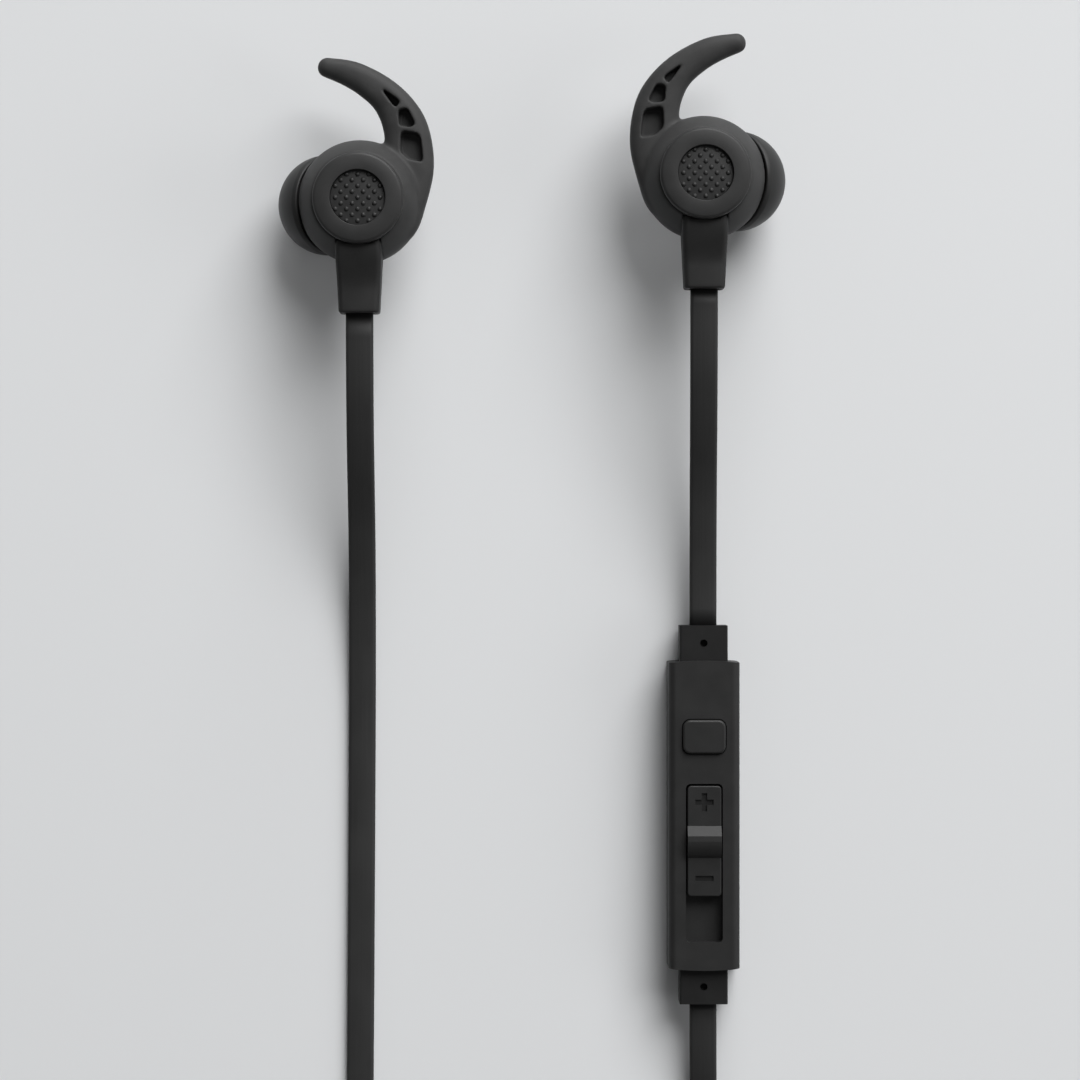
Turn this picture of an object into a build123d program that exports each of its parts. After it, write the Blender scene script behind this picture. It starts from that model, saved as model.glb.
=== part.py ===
from build123d import *
import os
from math import cos, hypot, pi, radians, sin, tan

# Sport earphones with flat cables, lying on their backs on a table. Millimetres.
# +X is to the object's right, +Y towards the earbuds, +Z up, away from the table.
# The origin is on the table, below the middle of the two earbuds and the remote.

# ---- driving dimensions ----------------------------------------------------------

# where the earbuds and the remote lie
bud_x = 21.9                  # half the distance between the two earbuds' axes
left_bud_y = 40.8
right_bud_y = 43.9
remote_x = 22.2
remote_top_y = -17.85         # the end of the remote that is nearer to the earbud

# ear tip and the nozzle that carries it
nozzle_tilt = 49.0            # degrees from straight down, towards the outside
tip_radius = 6.42             # the dome of the ear tip
tip_inset = 2.5               # sideways from the housing's wall in to the dome's centre
tip_wall = 0.55
tip_web = 2.42                # from the dome's top down to the underside of its web
tip_rim_back = 0.4            # how far the skirt's rim lies behind the dome's centre
tip_core_wall = 0.85
tip_core_lift = 0.25          # between the core's end and the nozzle's shoulder
nozzle_radius = 2.1
nozzle_wall = 0.7
nozzle_length = 4.0           # the straight stretch that the ear tip grips
nozzle_start = 1.7            # from the dome's centre to where that stretch begins
nozzle_shoulder = 0.5         # how far the shoulder behind that stretch stands out
neck_margin = 1.5             # how much thicker the neck is than the nozzle
neck_taper = 1.2
mesh_thickness = 0.15

# earbud housing, seen along its axis
face_radius = 5.75
face_rise = 5.64              # from the crossing of the two axes up to the outer face
face_proud = 1.5              # thickness of the face ring above its seat
face_edge = 0.3               # rounding of the face's rim
recess_radius = 3.5
recess_depth = 0.9
spigot_inset = 0.75           # the spigot under the face ring is this much narrower
spigot_length = 0.8
housing_radius = 6.8
housing_wall = 0.8
housing_above = 2.3           # straight wall above the crossing of the axes
housing_below = 1.5           # straight wall below it
housing_depth = 5.2           # from the crossing down to the rear cup's floor
knee_inset = 1.2              # how far the rear cup has narrowed at its knee
knee_drop = 2.6               # from the straight wall down to that knee
floor_inset = 3.4             # how far it has narrowed at its floor
stud_pitch_x = 1.41           # between studs of one row
stud_pitch_y = 0.73           # between rows, every second row shifted by half a pitch
stud_radius = 0.27
stud_height = 0.26
stud_disc_thickness = 0.35
stud_taper = 0.45             # a stud's top against its foot
driver_clearance = 0.15       # to the housing's inner wall
driver_lift = 0.2             # above the cup's slope
driver_rim = 0.9
driver_height = 2.3
driver_plate = 0.7
magnet_radius = 3.1
magnet_height = 2.0
film_thickness = 0.15
voice_coil_wall = 0.25
voice_coil_inset = 0.46       # from the magnet's edge to the voice coil
voice_coil_height = 0.9

# silicone sleeve with its wing
sleeve_wall = 1.05
sleeve_lip = 0.15             # gap around the face ring
sleeve_depth = 4.0            # from the crossing down to the sleeve's open end
fit_gap = 0.05                # between pieces that fit closely
wing_thickness = 3.4
wing_edge = 0.9               # rounding along the wing's edges
pocket_depth = 1.7

# boot where the cable leaves the earbud
boot_top_half = 2.92
boot_end_half = 2.58
boot_thickness = 4.0
boot_reach = 14.3             # from the earbud's axis to the boot's free end
boot_straight = 1.8           # the stretch beyond the face that isn't tapered
boot_under = 0.6              # how far it reaches under the face ring
boot_drop = 2.6               # from the outer face down to the boot's front
boot_edge = 0.6

# flat cable
cable_width = 3.5
cable_thickness = 1.2
cable_round = 0.5

# in-line remote
remote_width = 9.2
remote_length = 39.9
remote_height = 6.6
remote_wall = 1.1
remote_edge = 1.0             # rounding of the long front edges
remote_crown = 0.25           # how far the ends bulge at the middle
collar_width = 6.2
collar_height = 4.2
collar_length = 4.5           # what shows outside the remote
collar_tongue = 2.0           # what is held inside it
collar_corner = 0.25
pinhole_radius = 0.48
pinhole_depth = 1.1
rib_thickness = 1.2           # the two ribs that carry the circuit board
rib_setback = 4.0             # from the case's inner end to a rib's middle
board_thickness = 0.8
board_margin = 0.2
microphone_radius = 1.2
microphone_height = 1.0
microphone_centre = 4.2       # from the remote's top end

button_size = (5.5, 4.35)
button_corner = 0.95
button_centre = 9.75          # from the remote's top end
button_proud = 0.6
button_gap = 0.12
button_travel = 0.3
button_edge = 0.3
flange_lip = 0.4              # catches under the front wall, above and below the button
flange_thickness = 0.45
switch_width = 3.4
switch_body = 1.0
switch_plunger = 0.35
plunger_radius = 0.8
button_stem_radius = 0.7

slot_corner = 0.6
slot_centre = 26.05           # from the remote's top end
slot_depth = 1.7
slot_floor = 0.7
tray_wall = 0.6
slider_width = 4.35
slider_length = 14.2
slider_travel = 5.75
slider_side_gap = 0.2
slider_end_gap = 0.25
slider_lift = 0.1             # above the slot's floor
slider_proud = 0.3
slider_edge = 0.15
ridge_height = 1.1
ridge_length = 4.1
ridge_centre = 7.2            # from the slider's top end
ridge_rise = 1.2              # length of the steep slope
ridge_crest = 0.7             # length of the crest
stem_size = (1.0, 1.8)
stem_centre = 3.3             # from the slider's top end
stem_gap = 0.15
wiper_width = 2.6
wiper_thickness = 0.35
wiper_drop = 0.3              # below the tray that the slider runs in
track_width = 3.2
track_margin = 1.0            # beyond the wiper's travel at each end
track_thickness = 0.4
mark_depth = 0.3
mark_width = 0.68
mark_length = 2.35
plus_centre = 2.1             # from the slider's top end
minus_centre = 2.3            # from its other end

# stored length of cable
coil_x = 4.5
coil_y = -130.0
coil_outer = 27.7
coil_inner = 13.8
coil_upper = 19.7
split_size = (4.0, 12.0, 4.6)     # Y-splitter: across, along and above the table
split_radius = 21.4
split_angle = 303.0               # around the coil, anticlockwise from +X
split_corner = 0.9
split_edge = 0.6

# plug
plug_x = -14.4
plug_y = -172.0               # where the plug's strain relief begins
handle_radius = 2.8
handle_length = 14.0
handle_edge = 0.5
relief_length = 5.0
relief_wall = 0.5             # around the cable where it enters
relief_step = 0.2             # the handle stands out from the relief by this much
barrel_radius = 1.75
contact_lengths = (4.1, 1.9, 1.9)   # sleeve, second ring, first ring
insulator_length = 0.65
contact_tip = 4.2

os.makedirs("parts", exist_ok=True)

# ---- places worked out from them ---------------------------------------------------

tilt = radians(nozzle_tilt)
tip_offset = housing_radius - tip_inset
tip_reach = tip_offset / sin(tilt)                 # along the nozzle, to the dome's centre
cross_z = tip_radius + tip_reach * cos(tilt)       # where nozzle and earbud axes cross
face_z = cross_z + face_rise
seat_z = face_z - face_proud
wall_high = cross_z + housing_above
wall_low = cross_z - housing_below
knee_z = wall_low - knee_drop
rear_z = cross_z - housing_depth
spigot_radius = face_radius - spigot_inset
cup_radius = housing_radius - housing_wall
knee_radius = housing_radius - knee_inset
sleeve_radius = housing_radius + fit_gap + sleeve_wall
driver_radius = cup_radius - driver_clearance
neck_radius = nozzle_radius + neck_margin
boot_front_z = face_z - boot_drop
exit_z = boot_front_z - boot_thickness / 2         # middle of the cable where it leaves the boot
remote_end_y = remote_top_y - remote_length
shell_top = remote_height - remote_wall
split_level = remote_height / 2                    # the case's seam and the cable's middle
slot_width = slider_width + 2 * slider_side_gap
slot_length = slider_length + slider_travel + 2 * slider_end_gap


def keep(piece, name):
    piece.part.label = name
    export_step(piece.part, f"parts/{name}.step")


def ring(inner, outer, start, end):
    # outline of a plain ring for the function below
    return [(inner, start), (outer, start), (outer, end), (inner, end)]


def turned(points, plane, turning_axis, mode=Mode.ADD):
    # a solid of revolution from a closed outline of radius and height
    with BuildSketch(plane) as outline:
        with BuildLine():
            Polyline(*points, close=True)
        make_face()
    revolve(outline.sketch, axis=turning_axis, mode=mode)


# ---- earbuds -----------------------------------------------------------------------


def wing_edges(side):
    # the wing's outer and inner edge, from the sleeve to the horn's blunt end
    outer = [(-2.6, -7.35), (-5.6, -5.6), (-7.9, -1.8), (-9.25, 2.6), (-9.1, 8.2),
             (-7.2, 12.4), (-4.0, 15.6), (0.2, 17.65), (3.9, 18.35)]
    inner = [(4.6, 16.0), (2.2, 14.95), (-0.3, 13.35), (-2.3, 11.1), (-3.1, 8.4), (-2.6, 5.0)]
    flip = [[(side * x, y) for x, y in edge] for edge in (outer, inner)]
    return flip[0], flip[1], (side * 5.2, 17.2)


def wing_pockets(side):
    # three shaped pockets along the wing, from the horn to the root
    pockets = [
        [(-3.0, 14.3), (-5.0, 12.75), (-4.55, 12.05)],
        [(-5.0, 11.5), (-5.95, 11.65), (-6.85, 9.85), (-5.15, 9.75)],
        [(-5.45, 9.0), (-7.5, 8.65), (-7.8, 5.5), (-6.35, 5.75), (-5.2, 7.0)],
    ]
    return [[(side * x, y) for x, y in pocket] for pocket in pockets]


def boot_outline(upper_y, clearance):
    # the tapered boot seen along the earbud's axis, grown by a clearance
    wide, narrow = boot_top_half + clearance, boot_end_half + clearance
    taper_y = -face_radius - boot_straight
    return [(wide, upper_y), (wide, taper_y), (narrow, -boot_reach),
            (-narrow, -boot_reach), (-wide, taper_y), (-wide, upper_y)]


def make_bud(side, name, bud_y):
    x = side * bud_x
    up = Axis((x, bud_y, 0), (0, 0, 1))
    profile = Plane(origin=(x, bud_y, 0), x_dir=(side, 0, 0), z_dir=(0, -side, 0))
    nozzle = Axis((x, bud_y, cross_z), (side * sin(tilt), 0, -cos(tilt)))
    nozzle_profile = Plane(origin=(x, bud_y, cross_z),
                           x_dir=(side * cos(tilt), 0, sin(tilt)), z_dir=(0, side, 0))

    def level(z):
        return Plane((x, bud_y, z))

    spigot_bore = spigot_radius - housing_wall
    spigot_z = seat_z - spigot_length
    recess_z = face_z - recess_depth
    with BuildPart() as face_ring:
        turned([(spigot_bore, spigot_z), (spigot_radius, spigot_z), (spigot_radius, seat_z),
                (face_radius, seat_z), (face_radius, face_z), (recess_radius, face_z),
                (recess_radius, recess_z), (spigot_bore, recess_z)], profile, up)
        with BuildSketch(level(seat_z)):
            Circle(spigot_radius)
        extrude(amount=face_proud - recess_depth)
        fillet(face_ring.edges().group_by(Axis.Z)[-1].sort_by(SortBy.RADIUS)[-1], face_edge)
    keep(face_ring, f"{name}_face_ring")

    rows = int(recess_radius / stud_pitch_y) + 1
    columns = int(recess_radius / stud_pitch_x) + 1
    studs = [((column + (row % 2) / 2) * stud_pitch_x, row * stud_pitch_y)
             for row in range(-rows, rows + 1) for column in range(-columns, columns + 1)]
    studded = recess_radius - 2 * stud_radius
    with BuildPart() as stud_disc:
        with BuildSketch(level(recess_z)):
            Circle(recess_radius - fit_gap)
        extrude(amount=stud_disc_thickness)
        with Locations(*[(x + sx, bud_y + sy, recess_z + stud_disc_thickness)
                         for sx, sy in studs if hypot(sx, sy) < studded]):
            Cone(stud_radius, stud_radius * stud_taper, stud_height,
                 align=(Align.CENTER, Align.CENTER, Align.MIN))
    keep(stud_disc, f"{name}_stud_disc")

    # the housing splits where the two axes cross
    spigot_seat = spigot_radius + fit_gap
    with BuildPart() as front_shell:
        turned([(housing_radius, cross_z), (housing_radius, wall_high), (face_radius, seat_z),
                (spigot_seat, seat_z), (spigot_seat, spigot_z), (cup_radius, wall_high - 0.3),
                (cup_radius, cross_z)], profile, up)
    keep(front_shell, f"{name}_front_shell")

    neck_z = 2.0                                  # where the neck leaves the cup, along the nozzle
    nozzle_bore = nozzle_radius - nozzle_wall
    nozzle_root = tip_reach + nozzle_start
    nozzle_end = nozzle_root + nozzle_length
    inner_floor = cup_radius - floor_inset + 0.5
    inner_knee = cup_radius - knee_inset + 0.1
    with BuildPart() as rear_shell:
        turned([(0, rear_z), (housing_radius - floor_inset, rear_z), (knee_radius, knee_z),
                (housing_radius, wall_low), (housing_radius, cross_z), (0, cross_z)], profile, up)
        turned([(0, neck_z), (neck_radius, neck_z), (neck_radius, nozzle_root - neck_taper),
                (nozzle_radius + nozzle_shoulder, nozzle_root), (nozzle_radius, nozzle_root),
                (nozzle_radius, nozzle_end), (0, nozzle_end)], nozzle_profile, nozzle)
        turned([(0, rear_z + housing_wall), (inner_floor, rear_z + housing_wall),
                (inner_knee, knee_z + 0.3), (cup_radius, wall_low), (cup_radius, face_z), (0, face_z)],
               profile, up, mode=Mode.SUBTRACT)
        turned(ring(0, nozzle_bore, neck_z / 2, nozzle_end + 1), nozzle_profile, nozzle, mode=Mode.SUBTRACT)
    keep(rear_shell, f"{name}_rear_shell")

    # the driver sits on the rear cup's wall and fires towards the nozzle
    driver_z = wall_low + driver_lift
    driver_top = driver_z + driver_height
    plate_z = driver_top - driver_plate
    rim_bore = driver_radius - driver_rim
    with BuildPart() as driver_frame:
        turned([(rim_bore, driver_z), (driver_radius, driver_z), (driver_radius, driver_top),
                (magnet_radius + fit_gap, driver_top), (magnet_radius + fit_gap, plate_z),
                (rim_bore, plate_z)], profile, up)
    keep(driver_frame, f"{name}_driver_frame")

    film_z = driver_z + driver_lift
    coil_z = film_z + film_thickness
    with BuildPart() as magnet:
        with BuildSketch(level(coil_z + voice_coil_height + fit_gap)):
            Circle(magnet_radius)
        extrude(amount=magnet_height)
    keep(magnet, f"{name}_driver_magnet")

    with BuildPart() as diaphragm:
        with BuildSketch(level(film_z)):
            Circle(rim_bore - fit_gap)
        extrude(amount=film_thickness)
        with BuildSketch(level(coil_z)):
            Circle(magnet_radius - voice_coil_inset)
            Circle(magnet_radius - voice_coil_inset - voice_coil_wall, mode=Mode.SUBTRACT)
        extrude(amount=voice_coil_height)
    keep(diaphragm, f"{name}_driver_diaphragm")

    with BuildPart() as mesh_disc:
        turned(ring(0, nozzle_radius - 2 * fit_gap, nozzle_end, nozzle_end + mesh_thickness),
               nozzle_profile, nozzle)
    keep(mesh_disc, f"{name}_nozzle_mesh")

    # mushroom-shaped tip: an outer dome turned back from a core that grips the nozzle
    rim = tip_reach - tip_rim_back
    core_bore = nozzle_radius + fit_gap
    core_radius = nozzle_radius + tip_core_wall + fit_gap
    core_end = nozzle_root + tip_core_lift
    front = tip_reach + (tip_radius ** 2 - core_bore ** 2) ** 0.5
    web = tip_reach + tip_radius - tip_web
    hollow = tip_radius - tip_wall
    dome_middle = (tip_radius * cos(tilt), tip_reach + tip_radius * sin(tilt))
    with BuildPart() as ear_tip:
        with BuildSketch(nozzle_profile) as dome:
            with BuildLine():
                ThreePointArc((tip_radius, tip_reach), dome_middle, (core_bore, front))
                Polyline((core_bore, front), (core_bore, core_end), (core_radius, core_end),
                         (core_radius, web), (hollow - 1.6, web))
                ThreePointArc((hollow - 1.6, web), (hollow - 0.35, (web + tip_reach) / 2),
                              (hollow, tip_reach))
                Polyline((hollow, tip_reach), (hollow - 0.1, rim), (tip_radius - 0.25, rim),
                         (tip_radius, tip_reach))
            make_face()
        revolve(dome.sketch, axis=nozzle)
    keep(ear_tip, f"{name}_ear_tip")

    # boot: a tapered block that reaches from under the face ring to the cable
    with BuildPart() as boot:
        with BuildSketch(level(boot_front_z - boot_thickness)):
            with BuildLine():
                Polyline(*boot_outline(boot_under - face_radius, 0), close=True)
            make_face()
        extrude(amount=boot_thickness)
        fillet(boot.edges().filter_by(GeomType.LINE).group_by(Axis.Z)[-1].sort_by(Axis.X)[0:2], boot_edge)
        turned([(0, 0), (housing_radius + fit_gap, 0), (housing_radius + fit_gap, wall_high),
                (face_radius + fit_gap, seat_z), (0, seat_z)], profile, up, mode=Mode.SUBTRACT)
    keep(boot, f"{name}_boot")

    # silicone sleeve with the wing that hooks into the ear
    outer, inner, horn = wing_edges(side)
    lip = face_radius + sleeve_lip
    open_radius = housing_radius - boot_under
    with BuildPart() as sleeve:
        with BuildSketch(level(cross_z - wing_thickness / 2)):
            with BuildLine():
                back = Spline(*outer)
                front_edge = Spline(*inner)
                ThreePointArc(back @ 1, horn, front_edge @ 0)
                Line(front_edge @ 1, back @ 0)
            make_face()
        extrude(amount=wing_thickness)
        flats = sleeve.faces().filter_by(Axis.Z)
        fillet(flats.edges().filter_by(GeomType.LINE, reverse=True), wing_edge)
        with BuildSketch(profile) as body:
            with BuildLine():
                ThreePointArc((lip, seat_z + 0.1), (sleeve_radius - 0.75, wall_high),
                              (sleeve_radius, cross_z))
                Line((sleeve_radius, cross_z), (sleeve_radius - 0.1, wall_low + 0.1))
                ThreePointArc((sleeve_radius - 0.1, wall_low + 0.1), (sleeve_radius - 0.65, wall_low - 1.2),
                              (open_radius, cross_z - sleeve_depth))
                Polyline((open_radius, cross_z - sleeve_depth), (0, cross_z - sleeve_depth),
                         (0, seat_z + 0.1), (lip, seat_z + 0.1))
            make_face()
        revolve(body.sketch, axis=up)
        with BuildSketch(level(cross_z + wing_thickness / 2 - pocket_depth)):
            for pocket in wing_pockets(side):
                with BuildLine():
                    Polyline(*pocket, close=True)
                make_face()
        extrude(amount=wing_thickness, mode=Mode.SUBTRACT)
        turned([(0, 0), (knee_radius + fit_gap, knee_z), (housing_radius + fit_gap, wall_low),
                (housing_radius + fit_gap, wall_high), (lip - fit_gap, seat_z), (lip - fit_gap, face_z),
                (0, face_z)], profile, up, mode=Mode.SUBTRACT)
        # room for the neck, for the ear tip's skirt and for the boot
        turned(ring(0, neck_radius + 2 * fit_gap, 0, nozzle_end), nozzle_profile, nozzle,
               mode=Mode.SUBTRACT)
        turned(ring(hollow - 0.35, tip_radius + 1, rim - 0.4, front), nozzle_profile, nozzle,
               mode=Mode.SUBTRACT)
        with BuildSketch(level(boot_front_z - boot_thickness - fit_gap)):
            with BuildLine():
                Polyline(*boot_outline(0, fit_gap), close=True)
            make_face()
        extrude(amount=face_z, mode=Mode.SUBTRACT)
    keep(sleeve, f"{name}_wing_sleeve")


make_bud(-1, "left", left_bud_y)
make_bud(1, "right", right_bud_y)


# ---- remote ------------------------------------------------------------------------


def spot(below_top, z):
    # a plane at this height, this far below the remote's top end
    return Plane((remote_x, remote_top_y - below_top, z))


def block(below_top, z, width, length, height, mode=Mode.ADD):
    # a plain block of this height, standing at that spot
    with BuildSketch(spot(below_top, z)) as outline:
        Rectangle(width, length)
    extrude(outline.sketch, amount=height, mode=mode)


def rounded_block(below_top, z, width, length, corner, height, mode=Mode.ADD):
    with BuildSketch(spot(below_top, z)) as outline:
        RectangleRounded(width, length, corner)
    extrude(outline.sketch, amount=height, mode=mode)


def remote_half(z):
    # half of the case, up from z: a long block whose two ends bulge a little
    side, end = remote_width / 2, remote_length / 2
    corner = end - remote_crown
    with BuildSketch(spot(end, z)) as outline:
        with BuildLine():
            ThreePointArc((side, corner), (0, end), (-side, corner))
            Line((-side, corner), (-side, -corner))
            ThreePointArc((-side, -corner), (0, -end), (side, -corner))
            Line((side, -corner), (side, corner))
        make_face()
    extrude(outline.sketch, amount=remote_height - split_level)


def collar_mouths(z, height):
    # an opening in each end for the tongue of its collar
    for end in (0, remote_length):
        block(end, z, collar_width + 2 * fit_gap, 2 * (collar_tongue + fit_gap), height, mode=Mode.SUBTRACT)


middle = remote_length / 2
inner_width = remote_width - 2 * remote_wall
inner_length = remote_length - 2 * remote_wall
mouth_height = collar_height / 2 + fit_gap
slot_bottom = remote_height - slot_depth
tray_bottom = slot_bottom - slot_floor
slider_top_y = slot_centre - slot_length / 2 + slider_end_gap      # below the remote's top end
slider_centre = slider_top_y + slider_length / 2
stem_y = slider_top_y + stem_centre
track_centre = stem_y + slider_travel / 2
wiper_top = tray_bottom - wiper_drop
track_top = wiper_top - wiper_thickness - fit_gap
board_top = track_top - track_thickness
board_level = board_top - board_thickness

with BuildPart() as front_shell:
    remote_half(split_level)
    long_edges = front_shell.edges().group_by(Axis.Z)[-1].filter_by(Axis.Y)
    fillet(long_edges, remote_edge)
    block(middle, split_level, inner_width, inner_length, shell_top - split_level, mode=Mode.SUBTRACT)
    # the volume slider runs in a tray that hangs below the front wall
    block(slot_centre, tray_bottom, slot_width + 2 * tray_wall, slot_length + 2 * tray_wall,
          shell_top - tray_bottom)
    rounded_block(slot_centre, slot_bottom, slot_width, slot_length, slot_corner, slot_depth,
                  mode=Mode.SUBTRACT)
    block(track_centre, tray_bottom, stem_size[0] + 2 * stem_gap,
          stem_size[1] + slider_travel + 2 * stem_gap, slot_floor, mode=Mode.SUBTRACT)
    rounded_block(button_centre, shell_top, button_size[0] + 2 * button_gap,
                  button_size[1] + 2 * button_gap, button_corner + button_gap, remote_wall,
                  mode=Mode.SUBTRACT)
    collar_mouths(split_level, mouth_height)
keep(front_shell, "remote_front_shell")

with BuildPart() as back_shell:
    remote_half(0)
    fillet(back_shell.edges().group_by(Axis.Z)[0].filter_by(Axis.Y), remote_edge / 2)
    block(middle, remote_wall, inner_width, inner_length, split_level - remote_wall, mode=Mode.SUBTRACT)
    for rib_y in (remote_wall + rib_setback, remote_length - remote_wall - rib_setback):
        block(rib_y, remote_wall, inner_width, rib_thickness, board_level - remote_wall)
    collar_mouths(split_level - mouth_height, mouth_height)
keep(back_shell, "remote_back_shell")

with BuildPart() as board:
    block(middle, board_level, inner_width - 2 * board_margin,
          remote_length - 2 * (collar_tongue + 0.5), board_thickness)
keep(board, "remote_circuit_board")

button_foot = shell_top - fit_gap
stem_foot = board_top + switch_body + switch_plunger + button_travel + fit_gap
with BuildPart() as button:
    rounded_block(button_centre, button_foot, *button_size, button_corner,
                  remote_wall + button_proud + fit_gap)
    fillet(button.edges().group_by(Axis.Z)[-1], button_edge)
    rounded_block(button_centre, button_foot - flange_thickness, button_size[0],
                  button_size[1] + 2 * flange_lip, button_corner, flange_thickness)
    with BuildSketch(spot(button_centre, stem_foot)):
        Circle(button_stem_radius)
    extrude(until=Until.NEXT)
keep(button, "function_button")

with BuildPart() as tact_switch:
    block(button_centre, board_top, switch_width, switch_width, switch_body)
    with BuildSketch(spot(button_centre, board_top + switch_body)):
        Circle(plunger_radius)
    extrude(amount=switch_plunger)
keep(tact_switch, "tactile_switch")

slider_low = slot_bottom + slider_lift
slider_top = remote_height + slider_proud
ridge_y = slider_top_y + ridge_centre
with BuildPart() as slider:
    rounded_block(slider_centre, slider_low, slider_width, slider_length, slot_corner - 0.1,
                  slider_top - slider_low)
    fillet(slider.edges().group_by(Axis.Z)[-1], slider_edge)
    # the thumb ridge: steep towards the earbud, long towards the other end
    ridge_side = Plane(origin=(remote_x, remote_top_y - ridge_y, slider_top),
                       x_dir=(0, 1, 0), z_dir=(1, 0, 0))
    with BuildSketch(ridge_side):
        with BuildLine():
            half = ridge_length / 2
            steep = half - ridge_rise
            crest = steep - ridge_crest
            Polyline((half, -slider_edge), (half, 0), (steep, ridge_height), (crest, ridge_height + 0.05))
            ThreePointArc((crest, ridge_height + 0.05), (0.6 - half, ridge_height * 0.55), (-half, 0))
            Polyline((-half, 0), (-half, -slider_edge), (half, -slider_edge))
        make_face()
    extrude(amount=slider_width / 2, both=True)
    mark_floor = slider_top - mark_depth
    block(slider_top_y + plus_centre, mark_floor, mark_length, mark_width, mark_depth, mode=Mode.SUBTRACT)
    block(slider_top_y + plus_centre, mark_floor, mark_width, mark_length, mark_depth, mode=Mode.SUBTRACT)
    block(slider_top_y + slider_length - minus_centre, mark_floor, mark_length, mark_width, mark_depth,
          mode=Mode.SUBTRACT)
    block(stem_y, wiper_top, *stem_size, slider_low - wiper_top)
keep(slider, "volume_slider")

with BuildPart() as wiper:
    block(stem_y, wiper_top - wiper_thickness, wiper_width, stem_size[1], wiper_thickness)
keep(wiper, "potentiometer_wiper")

with BuildPart() as track:
    block(track_centre, board_top, track_width, slider_travel + stem_size[1] + 2 * track_margin,
          track_thickness)
keep(track, "potentiometer_track")

with BuildPart() as microphone:
    with BuildSketch(spot(microphone_centre, board_top)):
        Circle(microphone_radius)
    extrude(amount=microphone_height)
keep(microphone, "microphone_capsule")

for name, inner_end, outward in (("upper", remote_top_y, 1), ("lower", remote_end_y, -1)):
    pinhole_spot = (remote_x, inner_end + outward * collar_length / 2, split_level + collar_height / 2)
    with BuildPart() as collar:
        with BuildSketch(Plane((remote_x, inner_end - outward * collar_tongue, split_level),
                               x_dir=(1, 0, 0), z_dir=(0, outward, 0))):
            RectangleRounded(collar_width, collar_height, collar_corner)
        extrude(amount=collar_tongue + collar_length)
        with BuildSketch(Plane(pinhole_spot)):
            Circle(pinhole_radius)
        extrude(amount=-pinhole_depth, mode=Mode.SUBTRACT)
    keep(collar, f"remote_{name}_collar")


# ---- cables ------------------------------------------------------------------------


def soft_radii(name, points):
    # each corner is rounded as widely as its two runs allow
    spots = [Vector(*point) for point in points]
    radii = []
    for before, corner, after in zip(spots, spots[1:], spots[2:]):
        turn = radians((corner - before).get_angle(after - corner))
        shorter = min((corner - before).length, (after - corner).length)
        radii.append(0.45 * shorter / tan(turn / 2))
    print(name, "radii", [round(radius, 1) for radius in radii])
    return radii


def lay_cable(name, points, on_edge=False, stops=()):
    # a flat cable along its route, ending where it meets what stops it
    width, height = (cable_thickness, cable_width) if on_edge else (cable_width, cable_thickness)
    start, towards = Vector(*points[0]), Vector(*points[1]) - Vector(*points[0])
    with BuildPart() as cable:
        with BuildLine() as route:
            FilletPolyline(*points, radius=soft_radii(name, points))
        with BuildSketch(Plane(origin=start, x_dir=towards.cross(Vector(0, 0, 1)), z_dir=towards)):
            RectangleRounded(width, height, cable_round)
        sweep(path=route.wire())
        for stop in stops:
            add(stop, mode=Mode.SUBTRACT)
    section = cable_width * cable_thickness - (4 - pi) * cable_round ** 2
    print(name, "length", round(route.wire().length, 1), "volume over section times length",
          round(cable.part.volume / (section * route.wire().length), 3))
    keep(cable, name)


flat_z = cable_thickness / 2                  # a cable that lies flat on the table
layer_z = 1.5 * cable_width                   # a cable that stands on edge on the coil's lower layer

# the stored turns, wound on edge: a wide lower layer and a narrower upper one
with BuildPart() as coil:
    with BuildSketch(Plane(origin=(coil_x, coil_y, 0), x_dir=(1, 0, 0), z_dir=(0, -1, 0))):
        with BuildLine():
            Polyline((coil_inner, 0), (coil_outer, 0), (coil_outer, cable_width), (coil_upper, cable_width),
                     (coil_upper, 2 * cable_width), (coil_inner, 2 * cable_width), close=True)
        make_face()
    revolve(axis=Axis((coil_x, coil_y, 0), (0, 0, 1)))
    towards_split = (cos(radians(split_angle)), sin(radians(split_angle)), 0)
    split_plane = Plane(origin=Vector(coil_x, coil_y, 0) + Vector(towards_split) * split_radius,
                        x_dir=towards_split, z_dir=(0, 0, 1))
    with BuildSketch(split_plane):
        Rectangle(split_size[0], split_size[1])
    extrude(amount=split_size[2], mode=Mode.SUBTRACT)
keep(coil, "cable_coil")

with BuildPart() as splitter:
    with BuildSketch(split_plane):
        RectangleRounded(split_size[0], split_size[1], split_corner)
    extrude(amount=split_size[2])
    fillet(splitter.edges().group_by(Axis.Z)[-1], split_edge)
keep(splitter, "y_splitter")

left_route = [(-bud_x, left_bud_y - boot_reach, exit_z), (-bud_x, 14.0, exit_z), (-22.1, -7.5, flat_z),
              (-22.3, -49.5, flat_z), (-22.55, -86.0, flat_z), (-22.6, -122.0, flat_z)]
lay_cable("left_cable", left_route, stops=[coil.part])

right_upper_route = [(bud_x, right_bud_y - boot_reach, exit_z), (bud_x, 18.6, exit_z),
                     (remote_x, -0.4, split_level), (remote_x, remote_top_y + collar_length, split_level)]
lay_cable("right_cable_upper", right_upper_route)

cable_exit_y = remote_end_y - collar_length
right_lower_route = [(remote_x, cable_exit_y, split_level), (remote_x, cable_exit_y - 5.75, split_level),
                     (22.4, -78.0, flat_z), (22.0, -88.5, flat_z), (14.5, -97.5, flat_z),
                     (4.0, -102.3, flat_z)]
lay_cable("right_cable_lower", right_lower_route, stops=[coil.part])

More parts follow.
